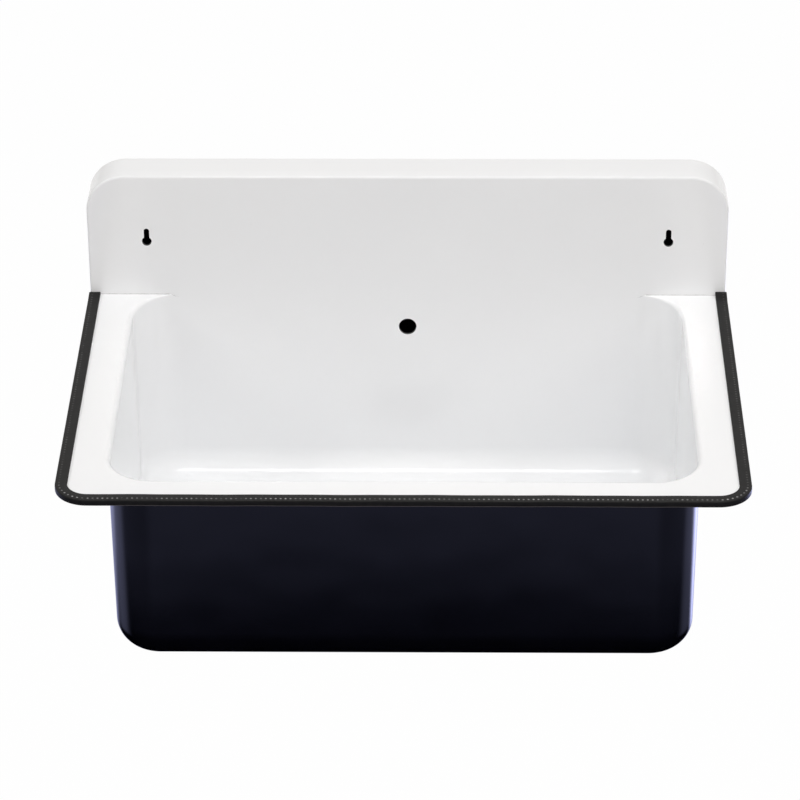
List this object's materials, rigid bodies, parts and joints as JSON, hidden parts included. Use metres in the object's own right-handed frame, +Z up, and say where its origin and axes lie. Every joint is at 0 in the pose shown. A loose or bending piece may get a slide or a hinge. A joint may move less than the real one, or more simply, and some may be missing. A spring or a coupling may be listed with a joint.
{
  "type": "bucket sink",
  "caption": "Wall-hung bucket sink in enamelled pressed steel, with a raised splashback, keyholes for wall screws, an overflow hole, an edge trim and a plug waste.",
  "frame": {"origin": "on the wall plane, in the middle of the splashback's top rear edge", "axes": "X across the sink, +Y into the wall, +Z up"},
  "size_m": [0.51, 0.35, 0.3187],
  "materials": {
    "enamel": "glossy white enamel inside and on the splashback, glossy near-black navy enamel outside",
    "trim": "satin black soft plastic",
    "strip": "plain steel strip",
    "waste_metal": "polished chrome plate",
    "seal": "matte black rubber",
    "screw_metal": "plain brass",
    "plug_rubber": "satin black rubber"
  },
  "bodies": {
    "sink": {"basin": "enamel", "splashback": "enamel", "edge_trim": "trim", "trim_core": "strip", "waste_flange": "waste_metal", "flange_seal": "seal", "body_seal": "seal", "waste_body": "waste_metal", "waste_screw": "screw_metal"},
    "plug": {"plug": "plug_rubber", "plug_eye": "waste_metal"},
    "ring": {"plug_ring": "waste_metal"}
  },
  "joints": [
    {"name": "plug_lift", "type": "slide", "parent": "sink", "child": "plug", "axis": [0, 0, 1], "range_m": [0, 0.2]},
    {"name": "ring_swing", "type": "hinge", "parent": "plug", "child": "ring", "pos_m": [0, -0.144, -0.2589], "axis": [-1, 0, 0], "range_deg": [0, 195]}
  ]
}
